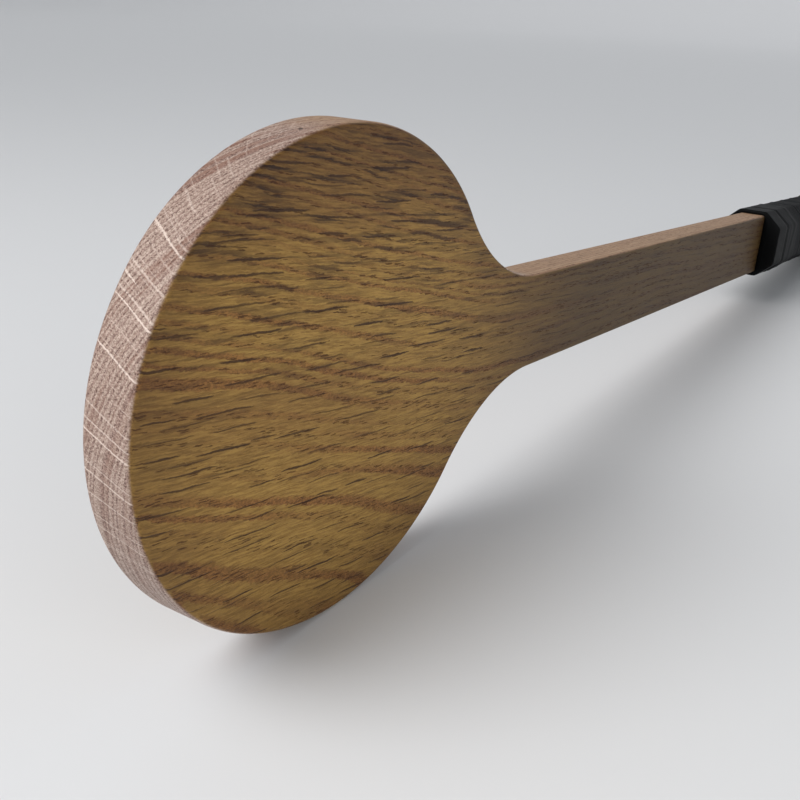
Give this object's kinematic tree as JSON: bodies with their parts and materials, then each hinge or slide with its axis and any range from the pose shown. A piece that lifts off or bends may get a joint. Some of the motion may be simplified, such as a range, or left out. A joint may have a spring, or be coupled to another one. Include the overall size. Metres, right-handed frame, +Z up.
{
  "type": "wooden tennis training paddle",
  "caption": "Small round-headed hardwood training paddle with a flat rectangular shaft and a black octagonal wrapped handle, standing on its edge.",
  "frame": {"origin": "on the floor under the middle of the paddle's box, as it stands on the rim of its head and on its butt", "axes": "+X along the paddle from the head to the butt, +Y across its thickness towards the back face, +Z up"},
  "size_m": [0.5998, 0.0354, 0.1161],
  "materials": {
    "oak": "bare red oak, sanded and oiled",
    "cheek_wood": "bare light hardwood",
    "screw_steel": "zinc plated",
    "tack_steel": "blued",
    "cap_plastic": "moulded black, fine texture",
    "badge_plastic": "moulded dark grey, gloss",
    "grip_leather": "black synthetic leather, semi-gloss",
    "tape_vinyl": "black vinyl tape",
    "collar_rubber": "moulded black rubber, semi-gloss"
  },
  "bodies": {
    "root": {"oak_blade": "oak", "front_cheek": "cheek_wood", "back_cheek": "cheek_wood", "cheek_screws": "screw_steel", "butt_cap": "cap_plastic", "butt_cap_tacks": "tack_steel", "butt_badge": "badge_plastic", "wrap_start_tack": "tack_steel", "grip_wrap": "grip_leather", "finishing_tape": "tape_vinyl", "handle_collar": "collar_rubber"}
  },
  "joints": []
}
